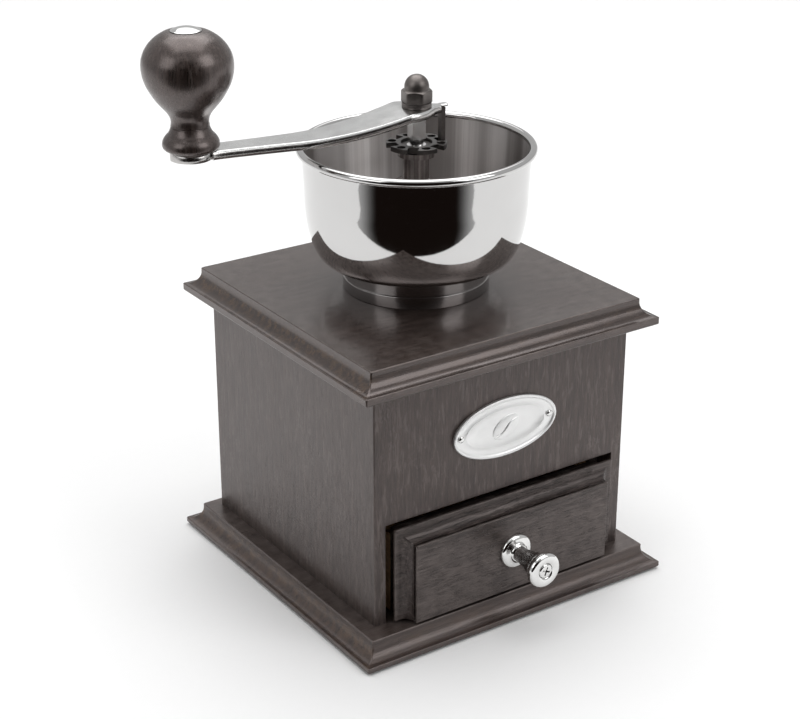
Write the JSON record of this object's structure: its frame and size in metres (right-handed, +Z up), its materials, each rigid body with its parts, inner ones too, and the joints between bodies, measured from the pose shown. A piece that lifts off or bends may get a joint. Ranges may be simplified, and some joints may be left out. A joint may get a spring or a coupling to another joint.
{
  "type": "burr coffee grinder",
  "caption": "Hand-cranked box mill for coffee: square wooden body with moulded boards, open chrome hopper, steel burrs, crank with turned knob, and a drawer that catches the grounds.",
  "frame": {"origin": "point where the spindle axis meets the table, on the underside of the base felt", "axes": "+Z up along the spindle, -Y towards the drawer front, +X to the right when facing the drawer"},
  "size_m": [0.1623, 0.1456, 0.2121],
  "materials": {
    "dark_wood": "dark stained oak, satin lacquer",
    "knob_wood": "dark stained turned wood, satin lacquer",
    "drawer_wood": "pale beech, sanded, unlacquered",
    "felt": "black felt",
    "bright_chrome": "polished chrome plating",
    "arm_chrome": "polished chrome plating on flat bar",
    "badge_metal": "satin white metal, pressed",
    "dark_steel": "blackened steel, semi gloss",
    "cast_metal": "grey cast iron, lacquered",
    "burr_steel": "hardened ground steel",
    "bright_steel": "zinc plated steel",
    "wheel_steel": "nickel plated pressed steel",
    "bronze": "sintered bronze",
    "stem_wood": "black stained turned wood"
  },
  "bodies": {
    "case": {"base_felt": "felt", "base_board": "dark_wood", "base_screws": "bright_steel", "left_panel": "dark_wood", "right_panel": "dark_wood", "back_panel": "dark_wood", "front_panel": "dark_wood", "top_board": "dark_wood", "top_dowels": "drawer_wood", "badge_plate": "badge_metal", "badge_pins": "badge_metal", "hopper_collar": "bright_chrome", "hopper_bowl": "bright_chrome", "burr_housing": "cast_metal", "burr_ring": "burr_steel", "upper_bridge": "cast_metal", "hopper_screws": "bright_steel", "upper_bush": "bronze", "lower_bridge": "cast_metal", "lower_bridge_screws": "bright_steel", "lower_bush": "bronze", "spring": "bright_steel"},
    "drawer": {"drawer_front": "dark_wood", "drawer_left_side": "drawer_wood", "drawer_right_side": "drawer_wood", "drawer_back": "drawer_wood", "drawer_bottom": "drawer_wood", "drawer_knob_rosette": "bright_chrome", "drawer_knob_stem": "stem_wood", "drawer_knob_head": "bright_chrome", "drawer_knob_screw": "bright_chrome"},
    "adjuster": {"adjusting_wheel": "wheel_steel"},
    "spindle": {"main_shaft": "bright_steel", "burr_cone": "burr_steel", "spring_washer": "bright_steel"},
    "crank": {"crank_arm": "arm_chrome", "crank_pin": "bright_chrome"},
    "knob": {"crank_knob": "knob_wood"},
    "nut_carrier": {"nut_washer": "dark_steel"},
    "nut": {"cap_nut": "dark_steel"}
  },
  "joints": [
    {"name": "crank_turn", "type": "hinge", "parent": "case", "child": "adjuster", "pos_m": [0, 0, 0.15], "axis": [0, 0, 1], "continuous": true},
    {"name": "grind_adjust", "type": "slide", "parent": "adjuster", "child": "spindle", "axis": [0, 0, 1], "range_m": [-0.0008, 0.0004], "deforming": ["spring"]},
    {"name": "crank_lift", "type": "slide", "parent": "spindle", "child": "crank", "axis": [0, 0, 1], "range_m": [0, 0.014]},
    {"name": "knob_spin", "type": "hinge", "parent": "crank", "child": "knob", "pos_m": [-0.0807, 0.01715, 0.19], "axis": [0, 0, 1], "continuous": true},
    {"name": "nut_rise", "type": "slide", "parent": "crank", "child": "nut_carrier", "axis": [0, 0, 1], "range_m": [0, 0.004]},
    {"name": "nut_turn", "type": "hinge", "parent": "nut_carrier", "child": "nut", "pos_m": [0, 0, 0.18], "axis": [0, 0, 1], "range_deg": [0, 1805]},
    {"name": "drawer_slide", "type": "slide", "parent": "case", "child": "drawer", "axis": [0, -1, 0], "range_m": [0, 0.088]}
  ],
  "couplings": [
    {"joint": "nut_turn", "follows": "nut_rise", "rad_per_m": 7854}
  ]
}
